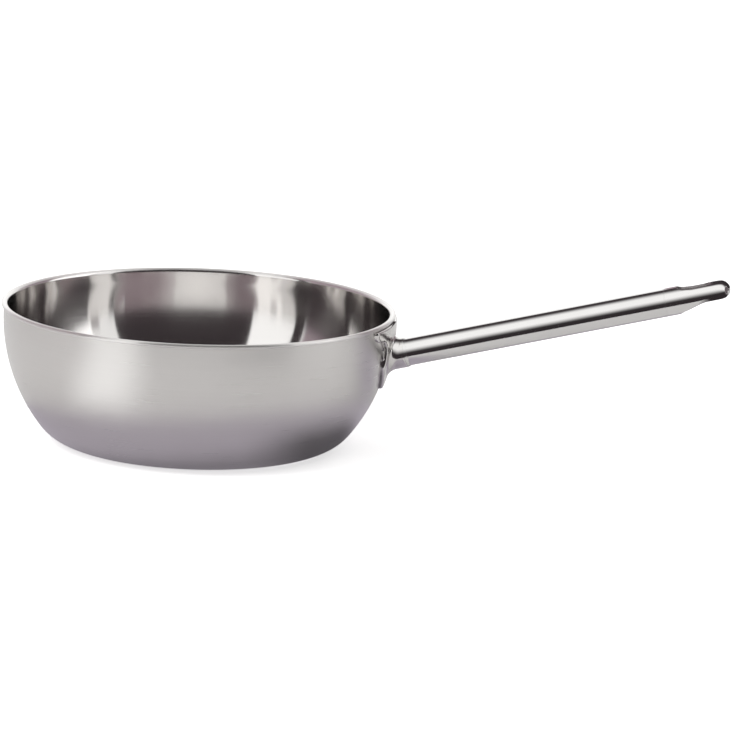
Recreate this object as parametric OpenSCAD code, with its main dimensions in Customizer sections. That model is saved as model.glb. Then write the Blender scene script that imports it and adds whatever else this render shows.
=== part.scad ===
// Saucier pan: a clad stainless bowl with one long tubular handle welded to its side.
// The origin is the centre of the underside of the base, +Z is up, the handle points along +X.

/* [Pan body] */
// Inside diameter of the upright band under the rim
rim_in_d = 240; // [230:1:280]
// Height from the underside of the base to the top of the rim
pan_h = 87.5; // [80:0.5:110]
// Diameter of the flat underside of the base
base_d = 154; // [130:1:160]
// Outside radius where the base turns up into the side
corner_r = 28; // [18:1:32]
// Height of the upright band under the rim, with the lip
band_h = 9; // [6:0.5:20]

/* [Clad wall] */
// Thickness of the inner stainless liner
liner_t = 0.6; // [0.4:0.05:1]
// Thickness of each of the two pure aluminium bond layers
bond_t = 0.2; // [0.1:0.05:0.5]
// Thickness of the aluminium alloy core
core_t = 1; // [0.6:0.1:2]
// Thickness of the outer magnetic stainless shell
shell_t = 0.6; // [0.4:0.05:1]
// How far the rounded pouring lip stands out of the wall
lip_out = 1.4; // [0.8:0.1:2.2]

/* [Handle saddle] */
// Thickness of the shield-shaped flange on the wall
flange_t = 2.4; // [1.5:0.1:4]
// Gap between the lip and the top edge of the flange
flange_gap = 0.1; // [0.1:0.1:3]
// Width of the flange across its two wings
flange_w = 69; // [64:1:84]
// Height of the flange, from its top edge to the end of its tail
flange_h = 42.4; // [40:0.2:52]
// Depth of the wings under the top edge of the flange
wing_h = 6.9; // [5.5:0.1:9]
// Radius of the wing tips
wing_r = 4.5; // [3:0.5:5]
// Width of the stem of the flange, under the wings
stem_w = 32; // [27:1:34]
// Radius of the hollow sweep between a wing and the stem
sweep_r = 12; // [8:1:14]
// Radius of the end of the tail
tail_r = 5; // [3:0.5:8]

/* [Neck] */
// Height of the handle's axis where it meets the outside of the wall
root_z = 63.5; // [62:0.5:67]
// Angle at which the handle rises from the horizontal
rise = 15; // [5:0.2:25]
// Diameter of the neck
neck_d = 19.8; // [19:0.2:22]
// Distance along the axis from the wall to the end of the neck
neck_len = 11.5; // [10:0.5:20]
// Radius of the fillet where the neck grows out of the flange
neck_fillet = 4.5; // [2:0.5:5]
// Length of the spigot that fills the end of the tube
spigot_len = 14; // [6:1:25]
// Radial gap between a spigot and the bore of the tube
spigot_gap = 0.05; // [0.02:0.01:0.2]

/* [Handle tube] */
// Outside diameter of the tube
tube_d = 17.5; // [16:0.1:18.5]
// Wall thickness of the tube
tube_wall = 1.5; // [1:0.1:2.5]
// Length of the whole handle, along its axis from the wall to the tip
handle_len = 219; // [160:0.5:260]

/* [Hanging eye] */
// Length of the end piece that holds the hanging slot
eye_len = 40.5; // [39:0.5:60]
// Thickness of the flattened end
eye_t = 10.5; // [8:0.1:13]
// How far the top of the flattened end lies below the top of the tube
eye_drop = 1.75; // [0.5:0.05:3]
// Length of the hanging slot
slot_len = 20.2; // [14:0.2:22]
// Width of the hanging slot
slot_w = 10; // [6:0.2:11]
// Distance from the tip to the near end of the slot
slot_margin = 12.3; // [9:0.1:14]
// Length over which the top of the tube sinks to the flattened end
top_ease_len = 12; // [8:0.5:16]
// Length over which the underside rises to the flattened end
under_ease_len = 20; // [14:0.5:22]

/* [Welds] */
// Radius of the bead between the neck and the tube
bead_r = 1.3; // [0.8:0.1:1.6]
// Depth of the flush weld between the tube and the eye
seam_depth = 0.8; // [0.4:0.1:1.2]
// Width of the flush weld between the tube and the eye
seam_w = 1.2; // [0.6:0.1:2]
// Diameter of the weld spots behind the flange
spot_d = 6; // [3:0.5:7]
// Thickness of the weld spots behind the flange
spot_t = 0.3; // [0.2:0.05:0.6]

/* [Hidden] */

round_fn = 96;
base_r = base_d / 2;
wall_t = liner_t + core_t + shell_t + 2 * bond_t;
inner_r = rim_in_d / 2;
wall_r = inner_r + wall_t;
band_z = pan_h - band_h;

// Depth of each face of the clad wall under the outside of the pan
inset_shell = shell_t;
inset_outer_bond = inset_shell + bond_t;
inset_core = inset_outer_bond + core_t;
inset_inner_bond = inset_core + bond_t;

// The side is one arc, tangent to the upright band and to the corner arc
side_run = wall_r - base_r;
side_climb = band_z - corner_r;
side_r = (pow(side_run, 2) + pow(side_climb, 2) - pow(corner_r, 2)) / (2 * (side_run - corner_r));
side_x = wall_r - side_r;
side_angle = atan2(band_z - corner_r, base_r - side_x);

// The lip closes the cut edge of the clad wall
lip_foot = 0.2;
lip_z = pan_h - max(wall_t, 2 * lip_out) - lip_foot;

// The handle's axis starts on the outside of the wall
root_x = side_x + sqrt(pow(side_r, 2) - pow(max(0, band_z - root_z), 2));
wall_tilt = asin(max(0, band_z - root_z) / side_r);
tube_r = tube_d / 2;
bore_r = tube_r - tube_wall;
spigot_r = bore_r - spigot_gap;
neck_r = neck_d / 2;
seam_s = handle_len - eye_len;
cut_reach = 2 * wall_r;

// Flange outline: across, and down from its top edge
flange_z = lip_z - flange_gap;
lobe_r = stem_w / 2;
lobe_drop = wing_h + sweep_r + 3;
tail_drop = flange_h - tail_r;
tail_lean = asin((lobe_r - tail_r) / (tail_drop - lobe_drop));
spot_places = [[-27, 3.6], [-14, 3.8], [0, 3.8], [14, 3.8], [27, 3.6],
               [-9.5, flange_h - 14.4], [9.5, flange_h - 14.4], [0, flange_h - 7.5]];

// Flattened end: heights over the handle's axis, distances along it
ease_steps = 10;
ease_s = handle_len - 34.5;
eye_top = tube_r - eye_drop;
eye_under = eye_top - eye_t;
nose_r = eye_t / 2;
slot_far_s = handle_len - slot_margin - slot_w / 2;
slot_near_s = slot_far_s - slot_len + slot_w;

function ease(u) = (1 - cos(180 * u)) / 2;
function on_side(r) = [side_x + r * cos(side_angle), band_z - r * sin(side_angle)];
function top_point(i) = [ease_s + top_ease_len * i / ease_steps,
                         tube_r - eye_drop * ease(i / ease_steps)];
function under_point(i) = [ease_s + under_ease_len * i / ease_steps,
                           -tube_r + (eye_under + tube_r) * ease(i / ease_steps)];

// Where the straight flank of the tail touches a circle of radius r that lies drop under the top edge
function flank_point(side, r, drop) = [side * r * cos(tail_lean), -drop - r * sin(tail_lean)];

// Half section of the bowl's outside, moved in by inset, or out where inset is negative
module bowl_section(inset) {
    reach = 2 * side_r;
    intersection() {
        translate([0, -pan_h]) square([cut_reach, 3 * pan_h]);
        union() {
            polygon([[0, inset], [base_r, inset], on_side(side_r - inset), [wall_r - inset, band_z],
                     [wall_r - inset, pan_h], [0, pan_h]]);
            translate([base_r, corner_r]) circle(corner_r - inset, $fn = round_fn);
            intersection() {
                translate([side_x, band_z]) circle(side_r - inset, $fn = round_fn);
                polygon([[side_x, band_z], on_side(reach), [side_x + reach, band_z]]);
            }
        }
    }
}

module bowl_body(inset) {
    rotate_extrude($fn = round_fn) bowl_section(inset);
}

// Half section of one layer of the wall, up to the foot of the lip
module ply_section(outer_inset, inner_inset) {
    intersection() {
        difference() {
            bowl_section(outer_inset);
            bowl_section(inner_inset);
        }
        square([cut_reach, lip_z]);
    }
}

module lip_section() {
    quarter_z = pan_h - wall_t;
    translate([inner_r, lip_z]) square([wall_t, quarter_z - lip_z]);
    intersection() {
        translate([wall_r, quarter_z]) circle(wall_t, $fn = round_fn);
        translate([inner_r, quarter_z]) square(wall_t);
    }
    translate([wall_r, pan_h - lip_out]) circle(lip_out, $fn = round_fn);
}

module inner_liner() {
    color("Silver") rotate_extrude($fn = round_fn) {
        ply_section(inset_inner_bond, wall_t);
        lip_section();
    }
}

module inner_bond_layer() {
    color("Gainsboro") rotate_extrude($fn = round_fn) ply_section(inset_core, inset_inner_bond);
}

module core() {
    color("LightGray") rotate_extrude($fn = round_fn) ply_section(inset_outer_bond, inset_core);
}

module outer_bond_layer() {
    color("Gainsboro") rotate_extrude($fn = round_fn) ply_section(inset_shell, inset_outer_bond);
}

module outer_shell() {
    color("DarkGray") rotate_extrude($fn = round_fn) ply_section(0, inset_shell);
}

// Shield outline of the flange, upright, with its top edge on the X axis
module flange_outline() {
    wing_x = flange_w / 2 - wing_r;
    sweep_x = lobe_r + sweep_r;
    sweep_drop = wing_h + sweep_r;
    intersection() {
        union() {
            translate([-wing_x, -wing_h]) square([2 * wing_x, wing_h]);
            for (side = [-1, 1]) translate([side * wing_x, wing_r - wing_h]) circle(wing_r, $fn = round_fn);
        }
        translate([-flange_w, -flange_h]) square([2 * flange_w, flange_h]);
    }
    difference() {
        translate([-sweep_x, -sweep_drop]) square([2 * sweep_x, sweep_r + wing_h / 2]);
        for (side = [-1, 1]) translate([side * sweep_x, -sweep_drop]) circle(sweep_r, $fn = round_fn);
    }
    translate([-lobe_r, -lobe_drop]) square([2 * lobe_r, lobe_drop - wing_h]);
    translate([0, -lobe_drop]) circle(lobe_r, $fn = round_fn);
    translate([0, -tail_drop]) circle(tail_r, $fn = round_fn);
    polygon([flank_point(-1, tail_r, tail_drop), flank_point(-1, lobe_r, lobe_drop),
             flank_point(1, lobe_r, lobe_drop), flank_point(1, tail_r, tail_drop)]);
}

// Puts a shape that stands on the handle's axis, pointing up, in its place on the pan
module on_axis() {
    translate([root_x, 0, root_z]) rotate([0, 90 - rise, 0]) children();
}

// Puts a shape that stands square on the wall at the handle's root in its place
module on_wall() {
    translate([root_x, 0, root_z]) rotate([0, 90 + wall_tilt, 0]) children();
}

// Round pins that run in along X to the places of the weld spots
module spot_pins() {
    for (place = spot_places)
        translate([base_r / 2, place[0], flange_z - place[1]])
            rotate([0, 90, 0]) cylinder(h = cut_reach, d = spot_d, $fn = 48);
}

module flange_welds() {
    color("DimGray") difference() {
        intersection() {
            bowl_body(-spot_t);
            spot_pins();
        }
        bowl_body(0);
    }
}

module neck_fillet_ring() {
    foot_r = neck_r + neck_fillet;
    on_wall() rotate_extrude($fn = round_fn) difference() {
        square([foot_r, flange_t + neck_fillet]);
        translate([foot_r, flange_t + neck_fillet]) circle(neck_fillet, $fn = round_fn);
    }
}

module handle_saddle() {
    sink = 8;
    overlap = 1;
    color("LightSteelBlue") difference() {
        union() {
            intersection() {
                bowl_body(-flange_t);
                translate([base_r / 2, 0, flange_z]) rotate([90, 0, 90])
                    linear_extrude(cut_reach) flange_outline();
            }
            neck_fillet_ring();
            on_axis() translate([0, 0, -sink]) cylinder(h = neck_len + sink, r = neck_r, $fn = round_fn);
            on_axis() translate([0, 0, neck_len - overlap])
                cylinder(h = spigot_len + overlap, r = spigot_r, $fn = round_fn);
        }
        bowl_body(0);
        intersection() {
            bowl_body(-spot_t);
            spot_pins();
        }
    }
}

module neck_weld() {
    color("LightSteelBlue") on_axis() rotate_extrude($fn = round_fn) intersection() {
        translate([tube_r + bead_r / 5, neck_len + 0.7 * bead_r]) circle(bead_r, $fn = round_fn);
        translate([tube_r, neck_len]) square(2 * bead_r);
    }
}

// Ring of weld metal let into the joint between the tube and the eye
module seam_ring() {
    translate([0, 0, seam_s - seam_w / 2]) difference() {
        cylinder(h = seam_w, r = tube_r, $fn = round_fn);
        translate([0, 0, -seam_w]) cylinder(h = 3 * seam_w, r = tube_r - seam_depth, $fn = round_fn);
    }
}

module handle_tube() {
    color("WhiteSmoke") on_axis() difference() {
        translate([0, 0, neck_len]) cylinder(h = seam_s - neck_len, r = tube_r, $fn = round_fn);
        translate([0, 0, neck_len - 1]) cylinder(h = seam_s - neck_len + 2, r = bore_r, $fn = round_fn);
        seam_ring();
    }
}

module end_weld() {
    color("WhiteSmoke") on_axis() seam_ring();
}

// Side view of the end piece: along the axis, and up from it
module eye_side_outline() {
    nose_s = handle_len - nose_r;
    polygon(concat([[seam_s, tube_r]], [for (i = [0:ease_steps]) top_point(i)],
                   [[nose_s, eye_top], [nose_s, eye_under]],
                   [for (i = [ease_steps:-1:0]) under_point(i)], [[seam_s, -tube_r]]));
    translate([nose_s, eye_top - nose_r]) circle(nose_r, $fn = round_fn);
}

// Top view of the end piece: along the axis, and across it
module eye_top_outline() {
    end_s = handle_len - tube_r;
    translate([seam_s, -tube_r]) square([end_s - seam_s, tube_d]);
    translate([end_s, 0]) circle(tube_r, $fn = round_fn);
}

module slot_outline() {
    translate([slot_near_s, -slot_w / 2]) square([slot_far_s - slot_near_s, slot_w]);
    for (s = [slot_near_s, slot_far_s]) translate([s, 0]) circle(slot_w / 2, $fn = round_fn);
}

module hanging_eye() {
    color("WhiteSmoke") on_axis() {
        difference() {
            intersection() {
                translate([0, 0, seam_s]) cylinder(h = eye_len, r = tube_r, $fn = round_fn);
                translate([0, tube_d, 0]) rotate([90, -90, 0])
                    linear_extrude(2 * tube_d) eye_side_outline();
                translate([tube_d, 0, 0]) rotate([0, -90, 0])
                    linear_extrude(2 * tube_d) eye_top_outline();
            }
            translate([tube_d, 0, 0]) rotate([0, -90, 0]) linear_extrude(2 * tube_d) slot_outline();
            seam_ring();
        }
        translate([0, 0, seam_s - spigot_len]) cylinder(h = spigot_len + 2, r = spigot_r, $fn = round_fn);
    }
}

inner_liner();
inner_bond_layer();
core();
outer_bond_layer();
outer_shell();
flange_welds();
handle_saddle();
neck_weld();
handle_tube();
end_weld();
hanging_eye();
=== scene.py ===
import math

import bmesh
import bpy
import numpy as np
from mathutils import Matrix, Vector, geometry


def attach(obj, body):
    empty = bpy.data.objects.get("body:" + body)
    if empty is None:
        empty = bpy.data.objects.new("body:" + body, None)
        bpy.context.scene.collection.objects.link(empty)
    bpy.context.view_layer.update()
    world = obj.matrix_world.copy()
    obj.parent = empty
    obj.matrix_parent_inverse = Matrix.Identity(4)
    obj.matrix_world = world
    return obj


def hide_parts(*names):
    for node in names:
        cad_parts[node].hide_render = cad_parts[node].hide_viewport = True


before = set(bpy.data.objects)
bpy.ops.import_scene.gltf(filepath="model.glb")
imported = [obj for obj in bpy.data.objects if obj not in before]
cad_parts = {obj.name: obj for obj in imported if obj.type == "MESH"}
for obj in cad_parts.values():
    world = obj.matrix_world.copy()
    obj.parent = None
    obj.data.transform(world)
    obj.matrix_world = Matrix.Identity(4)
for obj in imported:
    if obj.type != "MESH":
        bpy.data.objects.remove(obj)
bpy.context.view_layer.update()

# Camera
# A long lens two and a half metres away, a little above the rim and a little round towards
# the handle. It looks past the bowl's centre, so that the handle fills the right half.
mm = 0.001
focal_length = 194.7
film_width = 36
rim_centre = Vector((0, 0, 87.5 * mm))
camera_azimuth = math.radians(11)
camera_climb = math.radians(11.3)
camera_distance = 2510 * mm
turned_right = math.radians(2.514)
turned_down = math.radians(0.823)
camera_roll = math.radians(2.375)

camera_data = bpy.data.cameras.new("camera")
camera_data.sensor_width = film_width
camera_data.lens = focal_length
camera = bpy.data.objects.new("camera", camera_data)
bpy.context.scene.collection.objects.link(camera)
camera_side = Vector((math.cos(camera_climb) * math.sin(camera_azimuth),
                      -math.cos(camera_climb) * math.cos(camera_azimuth),
                      math.sin(camera_climb)))
camera.location = rim_centre + camera_distance * camera_side
aim = (Matrix.Rotation(camera_azimuth - turned_right, 3, "Z")
       @ Matrix.Rotation(math.pi / 2 - camera_climb - turned_down, 3, "X")
       @ Matrix.Rotation(camera_roll, 3, "Z"))
camera.rotation_euler = aim.to_euler()
bpy.context.scene.camera = camera

# Studio
# A white floor and a white surround, and one large soft lamp on each side. Pale cards and dull
# plum-grey flags, far off, over the floor and along the handle, show only in mirror-like
# surfaces, so that the steel has something to mirror. Those on the floor round the pan are
# painted shadow and painted highlight, and those along the handle and by its end paint
# reflections on it.


class Socket:
    """An output of a shader node, on which sums are written as plain expressions."""

    def __init__(self, output):
        self.output = output
        self.tree = output.id_data

    @classmethod
    def of(cls, tree, kind, inputs, output=None, **settings):
        """Add a node: its settings first, then the values or links of its sockets, by name or by place."""
        node = tree.nodes.new(kind)
        for setting, value in settings.items():
            setattr(node, setting, value)
        live = [socket for socket in node.inputs if socket.enabled]
        if not isinstance(inputs, dict):
            inputs = dict(enumerate(inputs))
        for key, value in inputs.items():
            socket = live[key] if isinstance(key, int) else next(s for s in live if s.name == key)
            if isinstance(value, Socket):
                tree.links.new(value.output, socket)
            else:
                socket.default_value = value
        results = [socket for socket in node.outputs if socket.enabled]
        return cls(next((s for s in results if s.name == output), results[0]))

    def math(self, operation, *others):
        return Socket.of(self.tree, "ShaderNodeMath", [self, *others], operation=operation)

    def __add__(self, other):
        return self.math("ADD", other)

    def __sub__(self, other):
        return self.math("SUBTRACT", other)

    def __rsub__(self, other):
        return Socket.of(self.tree, "ShaderNodeMath", [other, self], operation="SUBTRACT")

    def __mul__(self, other):
        return self.math("MULTIPLY", other)

    def __truediv__(self, other):
        return self.math("DIVIDE", other)

    def __pow__(self, other):
        return self.math("POWER", other)

    __radd__ = __add__
    __rmul__ = __mul__


def new_tree(owner):
    """Empty node tree of a material or the world, and its output node."""
    owner.use_nodes = True
    owner.node_tree.nodes.clear()
    kind = "World" if isinstance(owner, bpy.types.World) else "Material"
    return owner.node_tree, owner.node_tree.nodes.new("ShaderNodeOutput" + kind)


def seen_directly(tree):
    """1 for a ray from the camera, and for one that metal or glass throws on."""
    rays = [Socket.of(tree, "ShaderNodeLightPath", [], output=kind)
            for kind in ("Is Camera Ray", "Is Glossy Ray", "Is Transmission Ray")]
    return rays[0].math("MAXIMUM", rays[1]).math("MAXIMUM", rays[2])


def new_object(name, mesh):
    piece = bpy.data.objects.new(name, mesh)
    bpy.context.scene.collection.objects.link(piece)
    return piece


bpy.context.scene.view_settings.view_transform = "Standard"
surround_light = 0.5
world = bpy.data.worlds.new("studio")
bpy.context.scene.world = world
tree, end = new_tree(world)
dim = Socket.of(tree, "ShaderNodeBackground", {"Color": (1, 1, 1, 1), "Strength": surround_light})
white = Socket.of(tree, "ShaderNodeBackground", {"Color": (1, 1, 1, 1), "Strength": 1})
mixed = Socket.of(tree, "ShaderNodeMixShader", [seen_directly(tree), dim, white])
tree.links.new(mixed.output, end.inputs["Surface"])

floor_reach = 7
floor_drop = 0.1 * mm
floor_colour = (0.86, 0.85, 0.85, 1)
floor_glow = 0.6
floor_mesh = bpy.data.meshes.new("floor")
floor_mesh.from_pydata([(x * floor_reach, y * floor_reach, -floor_drop)
                        for x, y in ((-1, -1), (1, -1), (1, 1), (-1, 1))], [], [(0, 1, 2, 3)])
floor = new_object("floor", floor_mesh)
floor_paint = bpy.data.materials.new("floor_paint")
tree, end = new_tree(floor_paint)
matt = Socket.of(tree, "ShaderNodeBsdfDiffuse", {"Color": floor_colour})
camera_ray = Socket.of(tree, "ShaderNodeLightPath", [], output="Is Camera Ray")
glow = Socket.of(tree, "ShaderNodeEmission", {"Color": (1, 1, 1, 1), "Strength": camera_ray * floor_glow})
added = Socket.of(tree, "ShaderNodeAddShader", [matt, glow])
tree.links.new(added.output, end.inputs["Surface"])
floor_mesh.materials.append(floor_paint)


def towards(azimuth, climb, distance):
    """Point seen from the pan at a compass angle from -Y towards +X and a climb above the floor."""
    turn, lean = math.radians(azimuth), math.radians(climb)
    return distance * Vector((math.sin(turn) * math.cos(lean), -math.cos(turn) * math.cos(lean),
                              math.sin(lean)))


def soft_lamp(name, azimuth, climb, side, watts):
    """Square lamp that faces the pan, and that mirrors don't see."""
    data = bpy.data.lights.new(name, "AREA")
    data.shape = "SQUARE"
    data.size = side
    data.energy = watts
    lamp = bpy.data.objects.new(name, data)
    bpy.context.scene.collection.objects.link(lamp)
    lamp.location = towards(azimuth, climb, lamp_distance)
    lamp.rotation_euler = (-lamp.location).to_track_quat("-Z", "Y").to_euler()
    lamp.visible_glossy = False


lamp_distance = 2.4
soft_lamp("lamp_left", -42, 48, 1.3, 30)
soft_lamp("lamp_right", 70, 60, 1.5, 8)

card_steps = 24


def between(ends, share):
    return ends[0] + (ends[1] - ends[0]) * share


def card(name, corner_at, shade, feather=0.04, tint=(1, 1, 1)):
    """Soft-edged sheet that only mirrors see, from one side: corner_at maps 0 to 1 twice to its points."""
    width = card_steps + 1
    shares = [(i / card_steps, j / card_steps) for i in range(width) for j in range(width)]
    first_corners = [i * width + j for i in range(card_steps) for j in range(card_steps)]
    mesh = bpy.data.meshes.new(name)
    mesh.from_pydata([corner_at(u, v) for u, v in shares], [],
                     [(k, k + 1, k + width + 1, k + width) for k in first_corners])
    across = mesh.attributes.new("across", "FLOAT_VECTOR", "POINT")
    across.data.foreach_set("vector", [part for u, v in shares for part in (u, v, 0)])
    paint = bpy.data.materials.new(name + "_face")
    tree, end = new_tree(paint)
    place = Socket.of(tree, "ShaderNodeAttribute", [], output="Vector", attribute_name="across")
    opaque = 1 - Socket.of(tree, "ShaderNodeNewGeometry", [], output="Backfacing")
    for axis_name, soft in zip("XY", feather if isinstance(feather, tuple) else (feather, feather)):
        share = Socket.of(tree, "ShaderNodeSeparateXYZ", [place], output=axis_name)
        near = share.math("MINIMUM", 1 - share)
        rise = Socket.of(tree, "ShaderNodeMapRange", {"Value": near, "From Max": soft},
                         interpolation_type="SMOOTHSTEP")
        opaque = opaque * rise
    clear = Socket.of(tree, "ShaderNodeBsdfTransparent", [])
    glow = Socket.of(tree, "ShaderNodeEmission", {"Color": (*tint, 1), "Strength": shade})
    mixed = Socket.of(tree, "ShaderNodeMixShader", [opaque, clear, glow])
    tree.links.new(mixed.output, end.inputs["Surface"])
    mesh.materials.append(paint)
    sheet = new_object(name, mesh)
    sheet.visible_camera = sheet.visible_diffuse = sheet.visible_shadow = sheet.visible_transmission = False


plum = (1, 0.82, 0.9)
painted_shade_mauve = (0.95, 0.88, 1)


def far_card(name, azimuths, climbs, shade, feather=0.04, tint=(1, 1, 1), distance=2.6):
    """Upright sheet far off, part of a ball round the pan."""
    card(name, lambda u, v: towards(between(azimuths, u), between(climbs, v), distance),
         shade, feather, tint)


far_card("card_front_dark", (-24.5, 67.5), (1, 80), 0.045, (0.01, 0.03), plum)
far_card("card_front_low", (-22, 46), (-4, 11), 1.0, 0.4, distance=2.5)
far_card("card_softbox_left", (-54, -24.5), (0, 60), 1.25, (0.02, 0.04))
far_card("card_gap_dark", (-61, -54), (0, 60), 0.05, (0.03, 0.04), plum)
far_card("card_left_grey", (-140, -60), (0, 64), 0.42, (0.06, 0.1), plum, 2.7)
far_card("card_back_light", (-225, -105), (0, 62), 1.32, (0.5, 0.12))
far_card("card_right_grey", (112, 160), (0, 64), 0.32, 0.1, plum, 2.7)
far_card("card_softbox_right", (67.5, 100), (0, 60), 1.05, (0.02, 0.04))
far_card("card_softbox_side", (84, 119), (0, 60), 1.65, (0.08, 0.04), distance=2.5)


floor_centre_x = 12 * mm


def painted_floor_card(name, azimuths, reaches, shade, feather, tint=(1, 1, 1), lift=0.5 * mm):
    """Sheet close over the floor round the pan, that only mirrors see, as painted shadow or painted highlight
    on the floor. Each has its own lift, so that none coincide.
    """
    middle = Vector((floor_centre_x, 0, lift))
    card(name, lambda u, v: middle + towards(between(azimuths, u), 0, between(reaches, v)),
         shade, feather, tint)


# Painted shadow of the pan on the floor, seen only in the steel: mauve rings round the foot, darker to the
# right.
painted_floor_card("card_painted_pan_shadow", (-180, 180), (30 * mm, 158 * mm), 0.54, (0.001, 0.2), painted_shade_mauve)
painted_floor_card("card_painted_base_shadow", (-180, 180), (29 * mm, 112 * mm), 0.3, (0.001, 0.3), painted_shade_mauve, 0.8 * mm)
painted_floor_card("card_painted_shadow_right", (20, 124), (31 * mm, 132 * mm), 0.11, (0.4, 0.35), painted_shade_mauve, 1.1 * mm)
# Painted highlight: a bright patch on the floor to the front left, seen only in the steel.
painted_floor_card("card_painted_highlight_left", (-59, -9), (140 * mm, 900 * mm), 1.35, (0.45, 0.06), lift=1.4 * mm)
# Painted shade: a dimmer mauve patch on the floor to the right, seen only in the steel.
painted_floor_card("card_painted_shade_right", (98, 128), (140 * mm, 500 * mm), 0.5, (0.35, 0.1), painted_shade_mauve, 1.7 * mm)

handle_rise = math.radians(15)
root_z = 63.5 * mm
handle_root = Vector((121.6 * mm, 0, root_z))
handle_way = Vector((math.cos(handle_rise), 0, math.sin(handle_rise)))
handle_up = Vector((-math.sin(handle_rise), 0, math.cos(handle_rise)))


def painted_handle_card(name, angles, shade, feather=0.04, tint=(1, 1, 1), reach=20 * mm,
                run=(-8 * mm, 252 * mm)):
    """Strip along the handle, bent round its axis, as a painted reflection on it: angles from straight in
    front, up over the top.
    """
    def corner_at(u, v):
        turn = math.radians(between(angles, v))
        return (handle_root + between(run, u) * handle_way
                + reach * (math.sin(turn) * handle_up + math.cos(turn) * Vector((0, -1, 0))))
    card(name, corner_at, shade, feather, tint)


# Painted reflections on the handle: dark and light bands along it, and dark under the nose.
painted_handle_card("card_handle_dark", (-23, 30), 0.04, (0.02, 0.04), plum, 20.5 * mm)
painted_handle_card("card_handle_back", (48, 119), 0.06, (0.02, 0.12), plum, 20.5 * mm)
painted_handle_card("card_handle_light", (0, 92), 1.35, (0.02, 0.38))
painted_handle_card("card_tip_under", (-130, -17), 0.04, (0.12, 0.05), plum, 20.5 * mm, (198 * mm, 256 * mm))


def painted_tip_card(name, run, shifts, feet, top, shade):
    """Upright sheet by the handle's end, as a painted reflection on the eye: its two ends lie along the run,
    shifted back from the axis.
    """
    def corner_at(u, v):
        return (handle_root + between(run, u) * handle_way + between((between(feet, u), top), v) * handle_up
                + Vector((0, between(shifts, u), 0)))
    card(name, corner_at, shade, 0.1, plum)


# Painted reflections on the eye: a dark edge round the nose, grey on the bars by the hole, and dim grey at
# the very end.
painted_tip_card("card_tip_back", (285 * mm, 199 * mm), (20 * mm, 20 * mm), (-14 * mm, 4 * mm), 35 * mm, 0.04)
painted_tip_card("card_slot_back", (215 * mm, 174 * mm), (20.5 * mm, 20.5 * mm), (-14 * mm, 4 * mm), 35 * mm, 0.5)
painted_tip_card("card_tip_end", (254 * mm, 284 * mm), (-24 * mm, 22 * mm), (-26 * mm, -26 * mm), 34 * mm, 0.16)

# Outer shell
# The shell is magnetic stainless sheet, 0.6 mm thick, pressed with the rest of the clad disc into
# a bowl. Its outside is satin, from belts that ran round the pan.
base_r = 77 * mm
corner_r = 28 * mm
wall_r = 122.6 * mm
pan_h = 87.5 * mm
band_z = pan_h - 9 * mm
lip_z = 84.5 * mm
shell_t = 0.6 * mm
turns_around = 288
crease = math.radians(40)

side_r = (((wall_r - base_r) ** 2 + (band_z - corner_r) ** 2 - corner_r ** 2)
          / (2 * (wall_r - base_r - corner_r)))
side_x = wall_r - side_r
side_lean = math.atan2(band_z - corner_r, base_r - side_x)


def arc(centre, radius, start, stop, steps):
    """Points of an arc in the section plane, with angles in radians."""
    return [(centre[0] + radius * math.cos(start + (stop - start) * i / steps),
             centre[1] + radius * math.sin(start + (stop - start) * i / steps)) for i in range(steps + 1)]


def bowl_line(inset):
    """Half section of the bowl's outside, moved in by inset, from the axis to the foot of the lip."""
    return ([(0, inset), (base_r * 0.5, inset)]
            + arc((base_r, corner_r), corner_r - inset, -math.pi / 2, -side_lean, 16)
            + arc((side_x, band_z), side_r - inset, -side_lean, 0, 30)[1:]
            + [(wall_r - inset, lip_z)])


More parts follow.
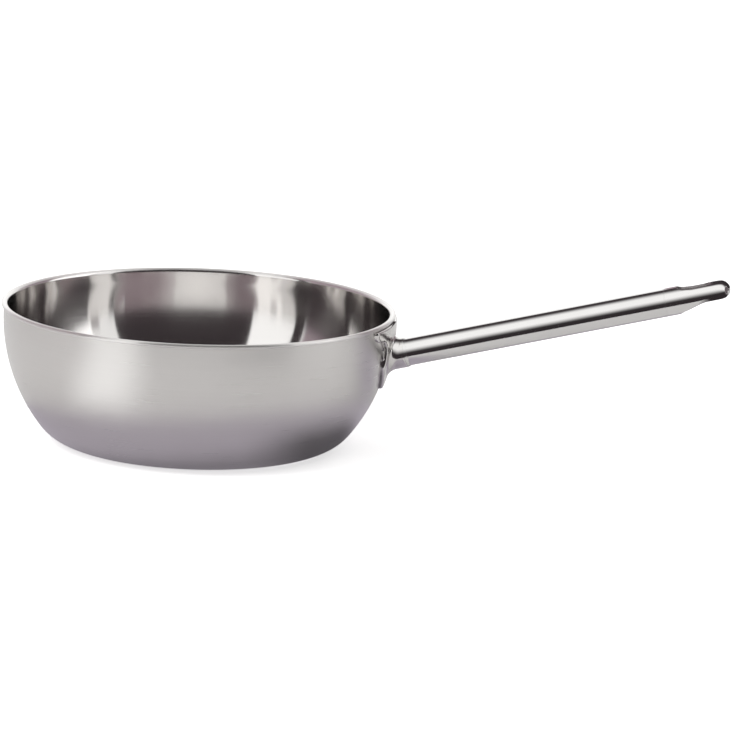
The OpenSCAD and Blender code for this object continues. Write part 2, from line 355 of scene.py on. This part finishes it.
def new_lathe():
    """Tree that turns a half section, drawn in the XZ plane, about the Z axis."""
    tree = bpy.data.node_groups.new("lathe", "GeometryNodeTree")
    face = tree.interface
    face.new_socket("Geometry", in_out="OUTPUT", socket_type="NodeSocketGeometry")
    for name, kind in (("Section", "Geometry"), ("Steps Around", "Int"), ("Foot", "Vector"),
                       ("Lean", "Float"), ("Metal", "Material")):
        face.new_socket(name, in_out="INPUT", socket_type="NodeSocket" + kind)
    nodes, links = tree.nodes, tree.links
    given = nodes.new("NodeGroupInput")
    made = nodes.new("NodeGroupOutput")

    def add(kind, inputs=(), **settings):
        node = nodes.new(kind)
        for setting, value in settings.items():
            setattr(node, setting, value)
        for key, value in inputs:
            if isinstance(value, (int, float)):
                node.inputs[key].default_value = value
            else:
                links.new(value, node.inputs[key])
        return node.outputs

    section, steps = given.outputs["Section"], given.outputs["Steps Around"]
    points = add("GeometryNodeAttributeDomainSize", [("Geometry", section)], component="MESH")["Point Count"]
    columns = add("ShaderNodeMath", [(0, steps), (1, 1)], operation="ADD")[0]
    grid = add("GeometryNodeMeshGrid", [("Vertices X", columns), ("Vertices Y", points)])["Mesh"]
    index = add("GeometryNodeInputIndex")[0]
    turns = add("ShaderNodeMath", [(0, index), (1, points)], operation="DIVIDE")[0]
    column = add("ShaderNodeMath", [(0, turns)], operation="FLOOR")[0]
    row = add("ShaderNodeMath", [(0, index), (1, points)], operation="MODULO")[0]
    place = add("GeometryNodeInputPosition")[0]
    sampled = add("GeometryNodeSampleIndex", [("Geometry", section)], data_type="FLOAT_VECTOR")
    sampler = sampled[0].node
    links.new(place, next(s for s in sampler.inputs if s.enabled and s.name == "Value"))
    links.new(row, sampler.inputs["Index"])
    share = add("ShaderNodeMath", [(0, column), (1, steps)], operation="DIVIDE")[0]
    angle = add("ShaderNodeMath", [(0, share), (1, 2 * math.pi)], operation="MULTIPLY")[0]
    value = next(s for s in sampled if s.enabled)
    turned = add("ShaderNodeVectorRotate", [("Vector", value), ("Angle", angle)], rotation_type="Z_AXIS")[0]
    spun = add("GeometryNodeSetPosition", [("Geometry", grid), ("Position", turned)])[0]
    closed = add("GeometryNodeMergeByDistance", [("Geometry", spun), ("Distance", 1e-6)])[0]
    lean = add("ShaderNodeCombineXYZ", [("Y", given.outputs["Lean"])])[0]
    stood = add("GeometryNodeTransform", [("Geometry", closed), ("Translation", given.outputs["Foot"]),
                                          ("Rotation", lean)])[0]
    smooth = add("GeometryNodeSetShadeSmooth", [("Geometry", stood)])[0]
    real = add("GeometryNodeRealizeInstances", [("Geometry", smooth)])[0]
    finished = add("GeometryNodeSetMaterial", [("Geometry", real), ("Material", given.outputs["Metal"])])[0]
    links.new(finished, made.inputs["Geometry"])
    return tree


lathe = new_lathe()


def turned_piece(name, section, metal, steps=turns_around, foot=(0, 0, 0), lean=0):
    """Solid of revolution with the given half section, listed anticlockwise seen from -Y."""
    outline = bpy.data.meshes.new(name)
    outline.from_pydata([(r, 0, z) for r, z in section], [(i, i + 1) for i in range(len(section) - 1)], [])
    blank = new_object(name + "_section", outline)
    modifier = blank.modifiers.new("lathe", "NODES")
    modifier.node_group = lathe
    wanted = {"Steps Around": steps, "Foot": foot, "Lean": lean, "Metal": metal}
    for item in lathe.interface.items_tree:
        if item.in_out == "INPUT" and item.name in wanted:
            modifier[item.identifier] = wanted[item.name]
    bpy.context.view_layer.update()
    seen = blank.evaluated_get(bpy.context.evaluated_depsgraph_get())
    mesh = bpy.data.meshes.new_from_object(seen)
    bpy.data.objects.remove(blank)
    mesh.name = name
    mesh.set_sharp_from_angle(angle=crease)
    return new_object(name, mesh)


def new_metal(name, colour, roughness):
    """Metal with a plain colour and roughness, and its tree and shader for the finish."""
    material = bpy.data.materials.new(name)
    tree, end = new_tree(material)
    shader = tree.nodes.new("ShaderNodeBsdfPrincipled")
    shader.inputs["Metallic"].default_value = 1
    shader.inputs["Base Color"].default_value = (*colour, 1)
    shader.inputs["Roughness"].default_value = roughness
    tree.links.new(shader.outputs[0], end.inputs["Surface"])
    return material, tree, shader


def blend_colours(tree, factor, first, second):
    return Socket.of(tree, "ShaderNodeMix", {"Factor": factor, "A": (*first, 1), "B": (*second, 1)},
                     data_type="RGBA")


def belt_marks(tree, pitch, stretch, detail=2):
    """Noise drawn out round the Z axis: lines pitch apart, and stretch times as long at the rim."""
    place = Socket.of(tree, "ShaderNodeTexCoord", [], output="Object")
    x, y, z = (Socket.of(tree, "ShaderNodeSeparateXYZ", [place], output=axis) for axis in "XYZ")
    radius = (x * x + y * y + 1e-9) ** 0.5
    around = wall_r / (pitch * stretch)
    point = Socket.of(tree, "ShaderNodeCombineXYZ", [radius / pitch, z / pitch, x / radius * around])
    return Socket.of(tree, "ShaderNodeTexNoise",
                     {"Vector": point, "W": y / radius * around, "Scale": 1, "Detail": detail},
                     noise_dimensions="4D")


def smudges(tree, size):
    """Slow, cloudy noise with the given size, as handling leaves on steel."""
    place = Socket.of(tree, "ShaderNodeTexCoord", [], output="Object")
    return Socket.of(tree, "ShaderNodeTexNoise", {"Vector": place, "Scale": 1 / size, "Detail": 3})


def finish(tree, shader, roughness, colour=None, relief=None, depth=0):
    """Link the finish: roughness, colour, and relief as fine bumps of the given depth."""
    tree.links.new(roughness.output, shader.inputs["Roughness"])
    if colour:
        tree.links.new(colour.output, shader.inputs["Base Color"])
    if relief:
        bump = Socket.of(tree, "ShaderNodeBump", {"Height": relief, "Distance": depth, "Strength": 1})
        tree.links.new(bump.output, shader.inputs["Normal"])


satin_steel, tree, shader = new_metal("satin_shell_steel", (0.62, 0.605, 0.59), 0.3)
shader.inputs["Anisotropic"].default_value = 0.7
shader.inputs["Anisotropic Rotation"].default_value = 0.25
fine = belt_marks(tree, 0.35 * mm, 90)
coarse = belt_marks(tree, 1.6 * mm, 60)
worn = smudges(tree, 45 * mm)
finish(tree, shader, 0.2 + 0.08 * fine + 0.06 * coarse + 0.05 * worn,
       blend_colours(tree, coarse * 0.6 + worn * 0.4, (0.60, 0.585, 0.57), (0.65, 0.635, 0.62)),
       fine * 0.7 + coarse * 0.3, 0.003 * mm)

outer_line = bowl_line(0)
shell_section = outer_line + bowl_line(shell_t)[::-1]
outer_shell = turned_piece("pan_outer_shell", shell_section, satin_steel)
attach(outer_shell, "root")
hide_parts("outer_shell")

# Bond layers and core
# Between the two steels lie a thick sheet of aluminium alloy and, on each side of it, a thin sheet
# of pure aluminium, rolled together hot into one disc. The lip hides all their edges.


def rolled_sheet(name, colour, streak_pitch):
    """Dull mill finish, with streaks along the X axis, in which the disc was rolled."""
    material, tree, shader = new_metal(name, colour, 0.45)
    place = Socket.of(tree, "ShaderNodeTexCoord", [], output="Object")
    drawn = Socket.of(tree, "ShaderNodeMapping", {"Vector": place, "Scale": (0.02, 1, 1)})
    streaks = Socket.of(tree, "ShaderNodeTexNoise", {"Vector": drawn, "Scale": 1 / streak_pitch, "Detail": 4})
    finish(tree, shader, 0.36 + 0.2 * streaks,
           blend_colours(tree, streaks, [c * 0.9 for c in colour], colour), streaks, 0.01 * mm)
    return material


layer_metals = {"inner_bond_layer": rolled_sheet("pure_aluminium", (0.88, 0.89, 0.9), 0.4 * mm),
                "outer_bond_layer": rolled_sheet("pure_aluminium_under", (0.88, 0.89, 0.9), 0.4 * mm),
                "core": rolled_sheet("alloy_core", (0.78, 0.79, 0.81), 0.8 * mm)}
for layer, metal in layer_metals.items():
    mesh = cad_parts[layer].data
    mesh.materials.clear()
    mesh.materials.append(metal)

# Inner liner and lip
# The liner is stainless sheet, 0.6 mm thick, brushed round the bowl. Its edge is rolled outwards
# over the layers and closes them in a rounded, polished pouring lip.
wall_t = 2.6 * mm
liner_t = 0.6 * mm
lip_out = 1.4 * mm
lip_fade = 0.8 * mm
quarter_z = pan_h - wall_t
nose_z = pan_h - lip_out

liner_steel, tree, shader = new_metal("liner_steel", (0.74, 0.725, 0.71), 0.12)
shader.inputs["Anisotropic"].default_value = 1
shader.inputs["Anisotropic Rotation"].default_value = 0.25
fine = belt_marks(tree, 0.3 * mm, 120)
coarse = belt_marks(tree, 1.4 * mm, 90)
worn = smudges(tree, 30 * mm)
place = Socket.of(tree, "ShaderNodeTexCoord", [], output="Object")
x, y = (Socket.of(tree, "ShaderNodeSeparateXYZ", [place], output=axis) for axis in "XY")
on_lip = Socket.of(tree, "ShaderNodeMapRange",
                   {"Value": (x * x + y * y) ** 0.5, "From Min": wall_r - wall_t,
                    "From Max": wall_r - wall_t + lip_fade})
finish(tree, shader, 0.06 + 0.04 * fine + 0.03 * coarse + 0.02 * worn + 0.24 * on_lip,
       blend_colours(tree, coarse * 0.6 + worn * 0.4, (0.72, 0.7, 0.685), (0.76, 0.745, 0.73)),
       fine * 0.7 + coarse * 0.3, 0.001 * mm)

inside_line = (bowl_line(wall_t)[:-1]
               + arc((wall_r, quarter_z), wall_t, math.pi, math.pi / 2, 10)
               + arc((wall_r, nose_z), lip_out, math.pi / 2, -math.pi / 2, 16)[1:]
               + [(wall_r, lip_z)])
liner_section = bowl_line(wall_t - liner_t) + inside_line[::-1]
inner_liner = turned_piece("pan_inner_liner_and_lip", liner_section, liner_steel)
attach(inner_liner, "root")
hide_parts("inner_liner")

# Flange welds
# Eight flat spots of weld metal hold the flange to the wall. They lie in shallow pockets behind
# it, where nothing of them is seen from outside.
weld_metal, tree, shader = new_metal("weld_metal", (0.5, 0.48, 0.46), 0.4)
grain = smudges(tree, 0.8 * mm)
finish(tree, shader, 0.3 + 0.25 * grain,
       blend_colours(tree, grain, (0.42, 0.39, 0.37), (0.58, 0.56, 0.54)), grain, 0.02 * mm)
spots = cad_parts["flange_welds"].data
spots.materials.clear()
spots.materials.append(weld_metal)

# Handle saddle
# The saddle is one stainless casting: a shield-shaped flange that follows the wall, and a round
# neck that grows out of it with a fillet. It is polished, and all its edges are rounded.
flange_t = 2.4 * mm
flange_z = 84.4 * mm
wing_x = 30 * mm
wing_r = 4.5 * mm
wing_h = 6.9 * mm
stem_r = 16 * mm
sweep_r = 12 * mm
lobe_drop = 21.9 * mm
tail_r = 5 * mm
tail_drop = 37.4 * mm
root = np.array((side_x + math.sqrt(side_r ** 2 - (band_z - root_z) ** 2), 0, root_z))
axis = np.array((math.cos(handle_rise), 0, math.sin(handle_rise)))
above = np.array((-math.sin(handle_rise), 0, math.cos(handle_rise)))
neck_r = 9.4 * mm
neck_len = 11.5 * mm
neck_ease = 0.6 * mm
neck_fillet = 4.5 * mm
edge_ease = 1.4 * mm
edge_round = 1.1 * mm
fillet_reach = 2.5 * mm


def soft_max(a, b, ease):
    """The larger of two distances, with the edge between them rounded off over ease."""
    near = np.maximum(ease - np.abs(a - b), 0) / ease
    return np.maximum(a, b) + near ** 2 * ease / 4


def filleted(a, b, radius):
    """Union of two distances with a round fillet in the corner between them."""
    corner = np.hypot(np.maximum(radius - a, 0), np.maximum(radius - b, 0))
    return np.maximum(radius, np.minimum(a, b)) - corner


def settle(points, field, rounds=14):
    """Move points on to the surface where a field is nought, down its own slope."""
    step = 1e-7
    for _ in range(rounds):
        slope = np.stack([(field(points + step * way) - field(points - step * way)) / (2 * step)
                          for way in np.eye(3)], -1)
        points = points - (field(points) / np.maximum((slope ** 2).sum(-1), 0.05))[..., None] * slope
    return points


def off_wall(points):
    """Height of points over the bowl's outside."""
    radius = np.hypot(points[..., 0], points[..., 1])
    below = np.minimum(points[..., 2] - band_z, 0)
    return np.hypot(radius - side_x, below) - side_r


def outline_gap(across, drop):
    """Distance outside the flange's outline, across and down from its top edge."""
    across = np.abs(across)
    bar = np.hypot(np.maximum(across - wing_x, 0), drop - (wing_h - wing_r)) - wing_r
    stem = np.where(drop < lobe_drop, across, np.hypot(across, drop - lobe_drop)) - stem_r
    lean = math.asin((stem_r - tail_r) / (tail_drop - lobe_drop))
    flank = across * math.cos(lean) + (drop - lobe_drop) * math.sin(lean) - stem_r
    tail = np.hypot(across, drop - tail_drop) - tail_r
    along = (drop - lobe_drop) * math.cos(lean) - across * math.sin(lean)
    run = math.sqrt((tail_drop - lobe_drop) ** 2 - (stem_r - tail_r) ** 2)
    keel = np.where(along < 0, stem, np.where(along > run, tail, flank))
    return np.maximum(filleted(bar, keel, sweep_r), -drop)


def saddle_field(points):
    """Field of the whole casting: the flange and the neck, with the fillet between them."""
    from_root = points - root
    out = from_root @ axis
    off_axis = np.linalg.norm(from_root - out[..., None] * axis, axis=-1)
    flange = soft_max(off_wall(points) - flange_t, outline_gap(points[..., 1], flange_z - points[..., 2]),
                      edge_ease)
    return filleted(flange, soft_max(off_axis - neck_r, out - neck_len, neck_ease), neck_fillet)


def on_wall(across, drop, height):
    """Points across and down from the flange's top edge, at a height over the wall."""
    z = flange_z - drop
    radius = side_x + np.sqrt((side_r + height) ** 2 - np.minimum(z - band_z, 0) ** 2)
    return np.stack([np.sqrt(radius ** 2 - across ** 2), across, z], -1)


def even_run(line, count):
    """The same line with evenly spaced points."""
    line = np.array(line)
    length = np.concatenate([[0], np.cumsum(np.linalg.norm(np.diff(line, axis=0), axis=1))])
    wanted = np.linspace(0, length[-1], count)
    return np.stack([np.interp(wanted, length, line[:, k]) for k in range(line.shape[1])], -1)


def ring_faces(rows, first):
    """Faces of a grid of points whose rows are closed rings, numbered from first."""
    count, width = rows.shape[:2]
    return [(first + r * width + c, first + r * width + (c + 1) % width,
             first + (r + 1) * width + (c + 1) % width, first + (r + 1) * width + c)
            for r in range(count - 1) for c in range(width)]


def inside(flat, loop):
    """Whether flat points lie inside a closed loop, by the crossings on their right."""
    ahead = np.roll(loop, -1, axis=0)
    x, y = flat[:, :1], flat[:, 1:]
    spans = (loop[:, 1] > y) != (ahead[:, 1] > y)
    slope = (ahead[:, 0] - loop[:, 0]) / np.where(ahead[:, 1] == loop[:, 1], 1, ahead[:, 1] - loop[:, 1])
    return (spans & (x < loop[:, 0] + (y - loop[:, 1]) * slope)).sum(axis=1) % 2 == 1


def solid_piece(name, points, faces, metal):
    """One closed mesh, with doubles merged, faces turned outwards and sharp edges kept."""
    mesh = bpy.data.meshes.new(name)
    mesh.from_pydata([tuple(point) for point in points], [], faces)
    work = bmesh.new()
    work.from_mesh(mesh)
    bmesh.ops.remove_doubles(work, verts=work.verts, dist=2e-6)
    bmesh.ops.dissolve_degenerate(work, edges=work.edges, dist=1e-7)
    bmesh.ops.recalc_face_normals(work, faces=work.faces)
    if work.calc_volume(signed=True) < 0:
        bmesh.ops.reverse_faces(work, faces=work.faces)
    for face in work.faces:
        face.smooth = True
    work.to_mesh(mesh)
    work.free()
    mesh.set_sharp_from_angle(angle=crease)
    mesh.materials.append(metal)
    return new_object(name, mesh)


wing_top = math.asin((wing_h - wing_r) / wing_r)
lean = math.asin((stem_r - tail_r) / (tail_drop - lobe_drop))
half_outline = ([(0, 0)]
                + arc((wing_x, wing_h - wing_r), wing_r, -wing_top, math.pi / 2, 24)
                + arc((wing_x, wing_h + sweep_r), sweep_r, -math.pi / 2, -math.pi, 30)
                + arc((0, lobe_drop), stem_r, 0, lean, 16)
                + arc((0, tail_drop), tail_r, lean, math.pi / 2, 16))
half = even_run(half_outline, 110)
outline = np.concatenate([half, half[-2:0:-1] * (-1, 1)])
root_drop = flange_z - root_z
bearing = np.unwrap(np.arctan2(outline[:, 0], root_drop - outline[:, 1]))
share = np.arange(len(outline)) / len(outline) * 2 * math.pi
foot_turn = 0.5 * bearing + 0.5 * share
ring_way = np.cos(foot_turn)[:, None] * above + np.sin(foot_turn)[:, None] * np.array((0, 1, 0))


def on_neck(out, radius):
    """Ring of points round the neck's axis, each at its own distance out from the wall."""
    return root + np.asarray(out)[..., None] * axis + radius * ring_way


pierced = np.zeros(len(outline))
for _ in range(40):
    pierced = pierced - (off_wall(on_neck(pierced, neck_r)) - flange_t)
foot = on_neck(pierced, neck_r)
foot_flat = np.stack([foot[:, 1], flange_z - foot[:, 2]], -1)
tangent = np.roll(outline, -1, axis=0) - np.roll(outline, 1, axis=0)
inward = np.stack([-tangent[:, 1], tangent[:, 0]], -1) / np.linalg.norm(tangent, axis=1)[:, None]
near_edge = outline + inward * edge_round
root_flat = np.array((0, root_drop))
foot_way = (foot_flat - root_flat) / np.linalg.norm(foot_flat - root_flat, axis=1)[:, None]
ring_flat = foot_flat + foot_way * fillet_reach


def on_front(flat):
    """Points of the flange's front, raised a little where the fillet starts."""
    bare = np.linalg.norm(flat - root_flat, axis=-1) - neck_r
    lift = 2 * mm * np.clip(1 - bare / neck_fillet, 0, 1) ** 2
    return on_wall(flat[..., 0], flat[..., 1], flange_t + lift)


neck_rows = 12
fillet_rows = 8
neck_end = np.full(len(outline), neck_len)
rows = [on_neck(neck_end, radius) for radius in (0, 7 * mm, 9.2 * mm)]
free_rows = []
for share in [i / neck_rows for i in range(neck_rows)]:
    free_rows.append(on_neck(neck_end - 0.1 * mm + (pierced + fillet_reach - neck_end) * share, neck_r))
for i in range(fillet_rows + 1):
    free_rows.append(on_front(foot_flat + (ring_flat - foot_flat) * i / fillet_rows))
upper = np.concatenate([rows, settle(np.array(free_rows), saddle_field)])

edge_rows = []
for turn in [math.pi / 2 * i / 6 for i in range(7)]:
    flat = outline + inward * edge_round * (1 - math.sin(turn))
    edge_rows.append(on_wall(flat[:, 0], flat[:, 1], flange_t - edge_round * (1 - math.cos(turn))))
edge_rows = settle(np.array(edge_rows), saddle_field)
back_rows = [on_wall(outline[:, 0], outline[:, 1], height) for height in (0.6 * mm, 0)]
back_rows.append(on_wall(near_edge[:, 0], near_edge[:, 1], 0))
back_rows.append(np.repeat(on_wall(np.zeros(1), root_flat[1:], 0), len(outline), axis=0))
lower = np.concatenate([edge_rows, back_rows])

pitch = 0.9 * mm
across, drop = np.meshgrid(np.arange(-38, 39) * pitch, np.arange(1, 50) * pitch * math.sqrt(0.75))
across[1::2] += pitch / 2
lattice = np.stack([across.ravel(), drop.ravel()], -1)
room = np.full(len(lattice), True)
for loop in (ring_flat, near_edge):
    room &= np.linalg.norm(lattice[:, None] - loop, axis=-1).min(axis=1) > pitch * 0.6
lattice = lattice[room & inside(lattice, near_edge) & ~inside(lattice, ring_flat)]
flat = np.concatenate([ring_flat, near_edge, lattice])
count = len(outline)
fences = [(first + i, first + (i + 1) % count) for first in (0, count) for i in range(count)]
cut = geometry.delaunay_2d_cdt([Vector(point) for point in flat], fences, [], 0, 1e-9)
flat = np.array([tuple(point) for point in cut[0]])
faces = np.array([tuple(face) for face in cut[2]])
middle = flat[faces].mean(axis=1)
faces = faces[inside(middle, near_edge) & ~inside(middle, ring_flat)]
front = settle(on_front(flat), saddle_field)

points = np.concatenate([upper.reshape(-1, 3), lower.reshape(-1, 3), front])
joined_faces = (ring_faces(upper, 0) + ring_faces(lower, upper.size // 3)
                + [tuple(face) for face in faces + (upper.size + lower.size) // 3])

cast_steel, tree, shader = new_metal("polished_cast_steel", (0.63, 0.615, 0.6), 0.14)
cloud = smudges(tree, 9 * mm)
pits = smudges(tree, 0.5 * mm)
finish(tree, shader, 0.08 + 0.08 * cloud + 0.04 * pits,
       blend_colours(tree, cloud, (0.60, 0.585, 0.57), (0.66, 0.645, 0.63)), pits, 0.004 * mm)
saddle = solid_piece("handle_saddle_casting", points, joined_faces, cast_steel)
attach(saddle, "root")
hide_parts("handle_saddle")

# Neck weld
# A bead of weld metal runs round the joint between the neck and the tube. It is dressed and
# polished with the handle, so that only a soft slope from the one to the other is left.
tube_r = 8.75 * mm
bead_len = 2.2 * mm
bead_steps = 24
bead_root = tube_r - 0.02 * mm
handle_lean = math.pi / 2 - handle_rise

dressed_weld, tree, shader = new_metal("dressed_weld", (0.64, 0.63, 0.62), 0.16)
ripple = smudges(tree, 1.1 * mm)
finish(tree, shader, 0.15 + 0.08 * ripple,
       blend_colours(tree, ripple, (0.61, 0.6, 0.59), (0.67, 0.66, 0.65)), ripple, 0.008 * mm)

slope = [(i / bead_steps, (1 + math.cos(math.pi * i / bead_steps)) / 2) for i in range(bead_steps + 1)]
bead_section = ([(bead_root, neck_len)]
                + [(tube_r + (neck_r - tube_r) * rest, neck_len + bead_len * along) for along, rest in slope]
                + [(bead_root, neck_len + bead_len), (bead_root, neck_len)])
neck_weld = turned_piece("neck_weld_bead", bead_section, dressed_weld, 128, root, handle_lean)
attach(neck_weld, "root")
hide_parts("neck_weld")

# Handle tube
# The handle is a round stainless tube with a wall of 1.5 mm, polished along its length. It is
# pushed over the neck's spigot and welded there.
bore_r = 7.25 * mm
end_bevel = 0.2 * mm
seam_s = 178.5 * mm
seam_w = 1.2 * mm

tube_steel, tree, shader = new_metal("polished_tube_steel", (0.66, 0.65, 0.64), 0.1)
place = Socket.of(tree, "ShaderNodeTexCoord", [], output="Object")
drawn = Socket.of(tree, "ShaderNodeMapping",
                  {"Vector": place, "Rotation": (0, -handle_rise, 0), "Scale": (50, 1, 1)},
                  vector_type="TEXTURE")
lines = Socket.of(tree, "ShaderNodeTexNoise", {"Vector": drawn, "Scale": 1 / (0.5 * mm), "Detail": 3})
worn = smudges(tree, 25 * mm)
finish(tree, shader, 0.06 + 0.05 * lines + 0.05 * worn,
       blend_colours(tree, worn, (0.63, 0.62, 0.61), (0.68, 0.67, 0.66)), lines, 0.002 * mm)

tube_end = seam_s - seam_w / 2
tube_section = ([(bore_r, neck_len), (tube_r - end_bevel, neck_len), (tube_r, neck_len + end_bevel)]
                + [(tube_r, neck_len + (tube_end - neck_len) * i / 40) for i in range(1, 41)]
                + [(bore_r, tube_end), (bore_r, neck_len)])
handle_tube = turned_piece("handle_tube_polished", tube_section, tube_steel, 160, root, handle_lean)
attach(handle_tube, "root")
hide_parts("handle_tube")

# End weld
# The joint between the tube and the hanging eye is welded all round, ground flush and polished,
# and shows only as a faint line.
seam_root = tube_r - 0.8 * mm
seam_edge = tube_r - 0.015 * mm
seam_ease = 0.1 * mm
eye_start = seam_s + seam_w / 2
seam_section = [(seam_root, tube_end), (seam_edge, tube_end), (tube_r, tube_end + seam_ease),
                (tube_r, eye_start - seam_ease), (seam_edge, eye_start), (seam_root, eye_start),
                (seam_root, tube_end)]
end_weld = turned_piece("end_weld_ring", seam_section, dressed_weld, 160, root, handle_lean)
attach(end_weld, "root")
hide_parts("end_weld")

# Hanging eye
# The end of the handle is a solid stainless piece that starts round, like the tube, and is
# flattened towards a blunt round nose. A long hole for hanging is milled through it, from top
# to bottom, and its walls are duller than the polished outside. Their darker colour is painted
# shade in the hole.
handle_len = 219 * mm
ease_s = handle_len - 34.5 * mm
eye_top = 7 * mm
eye_under = -3.5 * mm
top_ease_len = 12 * mm
under_ease_len = 20 * mm
slot_near = 191.5 * mm
slot_far = 201.7 * mm
slot_middle = (slot_near + slot_far) / 2
slot_half = (slot_far - slot_near) / 2
slot_r = 5 * mm
eye_edge = 2.6 * mm
slot_edge = 1.2 * mm


def eased(u):
    """Share that goes from 0 to 1 without a kink at either end."""
    return (1 - np.cos(np.pi * np.clip(u, 0, 1))) / 2


def eye_flats(s):
    """Heights of the flattened top and underside over the axis, at a distance along it."""
    return (tube_r + (eye_top - tube_r) * eased((s - ease_s) / top_ease_len),
            -tube_r + (eye_under + tube_r) * eased((s - ease_s) / under_ease_len))


def eye_field(points):
    """Field of the eye in the handle's own frame: along, across, and up."""
    s, y, w = points[..., 0], points[..., 1], points[..., 2]
    end_s = handle_len - tube_r + 0.3 * mm
    body = np.sqrt(np.maximum(s - end_s, 0) ** 2 + y ** 2 + w ** 2) - tube_r
    top, under = eye_flats(s)
    middle, half = (top + under) / 2, (top - under) / 2
    nose_s = handle_len - half + 0.5 * mm
    flats = np.hypot(np.maximum(s - nose_s, 0), w - middle) - half
    cut = np.where(w > middle, tube_r - top, tube_r + under)
    slot = np.hypot(np.maximum(np.abs(s - slot_middle) - slot_half, 0), y) - slot_r
    return soft_max(soft_max(body, flats, np.clip(cut, 0.01 * mm, eye_edge)), -slot, slot_edge)


slot_start, slot_stop = slot_near - slot_r, slot_far + slot_r
quarter = np.linspace(0, np.pi / 2, 15)
stations = np.concatenate([
    np.linspace(eye_start, slot_start - 2 * mm, 14)[:-1],
    np.linspace(slot_start - 2 * mm, slot_start, 8)[:-1],
    slot_near - slot_r * np.cos(quarter),
    np.linspace(slot_near, slot_far, 16)[1:-1],
    slot_far + slot_r * np.sin(quarter),
    np.linspace(slot_stop, slot_stop + 2 * mm, 8)[1:],
    slot_stop + 2 * mm + (handle_len - slot_stop - 2 * mm) * np.sin(np.linspace(0, np.pi / 2, 26))[1:]])
in_slot = (stations >= slot_start - 1e-9) & (stations <= slot_stop + 1e-9)
past_near = np.maximum(slot_near - stations, stations - slot_far)
inner_y = np.where(in_slot, np.sqrt(np.maximum(slot_r ** 2 - np.maximum(past_near, 0) ** 2, 0)), 0)
outer_y = np.sqrt(np.maximum(tube_r ** 2 - np.maximum(stations - handle_len + tube_r, 0) ** 2, 0))
round_count = 60
wall_count = 14
sweep = np.linspace(np.pi / 2, -np.pi / 2, round_count)
fullness = 0.75
side = np.abs(np.cos(sweep)) ** fullness
height = np.sign(np.sin(sweep)) * np.abs(np.sin(sweep)) ** fullness
side[0] = side[-1] = 0
top, under = eye_flats(stations)
middle_w = (top + under) / 2
half_w = (top - under) / 2 * np.sqrt(np.clip((handle_len - stations) / (5 * mm), 0, 1))
arch = np.stack([np.repeat(stations[:, None], round_count, 1),
                 inner_y[:, None] + (outer_y - inner_y)[:, None] * side,
                 middle_w[:, None] + half_w[:, None] * height], -1)
arch = settle(arch, eye_field, 40)
arch[:, [0, -1], 1] = np.where(in_slot[:, None] & (inner_y > 0)[:, None], arch[:, [0, -1], 1], 0)
rising = np.linspace(0, 1, wall_count)[None, :, None]
wall = arch[:, -1:] * (1 - rising) + arch[:, :1] * rising
wall[..., 0] = stations[:, None]
wall[..., 1] = inner_y[:, None]
wall = settle(wall, eye_field, 40)
wall[inner_y == 0, :, 1] = 0
wall[:, 0], wall[:, -1] = arch[:, -1], arch[:, 0]
end_disc = np.zeros((1, round_count, 3)) + (eye_start, 0, 0)
arch = np.concatenate([end_disc, arch])

eye_points = []
eye_faces = []


def add_sheet(sheet, kept):
    """Add a grid of points, with faces only between the rows that are kept."""
    first = len(eye_points)
    columns = sheet.shape[1]
    eye_points.extend(root + sheet.reshape(-1, 3) @ np.array((axis, (0, 1, 0), above)))
    for r in range(len(sheet) - 1):
        if kept[r] and kept[r + 1]:
            corner = first + r * columns
            eye_faces.extend((corner + c, corner + c + 1, corner + columns + c + 1, corner + columns + c)
                             for c in range(columns - 1))


for flip in (1, -1):
    add_sheet(arch * (1, flip, 1), np.ones(len(arch), bool))
    add_sheet(wall * (1, flip, 1), in_slot)


eye_steel, tree, shader = new_metal("polished_eye_steel", (0.66, 0.65, 0.64), 0.1)
place = Socket.of(tree, "ShaderNodeTexCoord", [], output="Object")
inline = Socket.of(tree, "ShaderNodeMapping",
                   {"Vector": place, "Location": tuple(root), "Rotation": (0, -handle_rise, 0)},
                   vector_type="TEXTURE")
along, across = (Socket.of(tree, "ShaderNodeSeparateXYZ", [inline], output=axis_name) for axis_name in "XY")
past = ((along - slot_middle).math("ABSOLUTE") - slot_half).math("MAXIMUM", 0)
# Rougher on the hole's walls for the milled finish, and darker there: painted shade in the hole.
milled_and_painted_shade = Socket.of(tree, "ShaderNodeMapRange", {"Value": (past * past + across * across) ** 0.5,
                                                "From Min": slot_r + 0.3 * mm, "From Max": slot_r + 1 * mm,
                                                "To Min": 1, "To Max": 0})
worn = smudges(tree, 25 * mm)
finish(tree, shader, 0.08 + 0.06 * worn + 0.35 * milled_and_painted_shade,
       blend_colours(tree, milled_and_painted_shade, (0.66, 0.65, 0.64), (0.3, 0.28, 0.28)))
eye = solid_piece("hanging_eye_nose", eye_points, eye_faces, eye_steel)
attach(eye, "root")
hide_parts("hanging_eye")
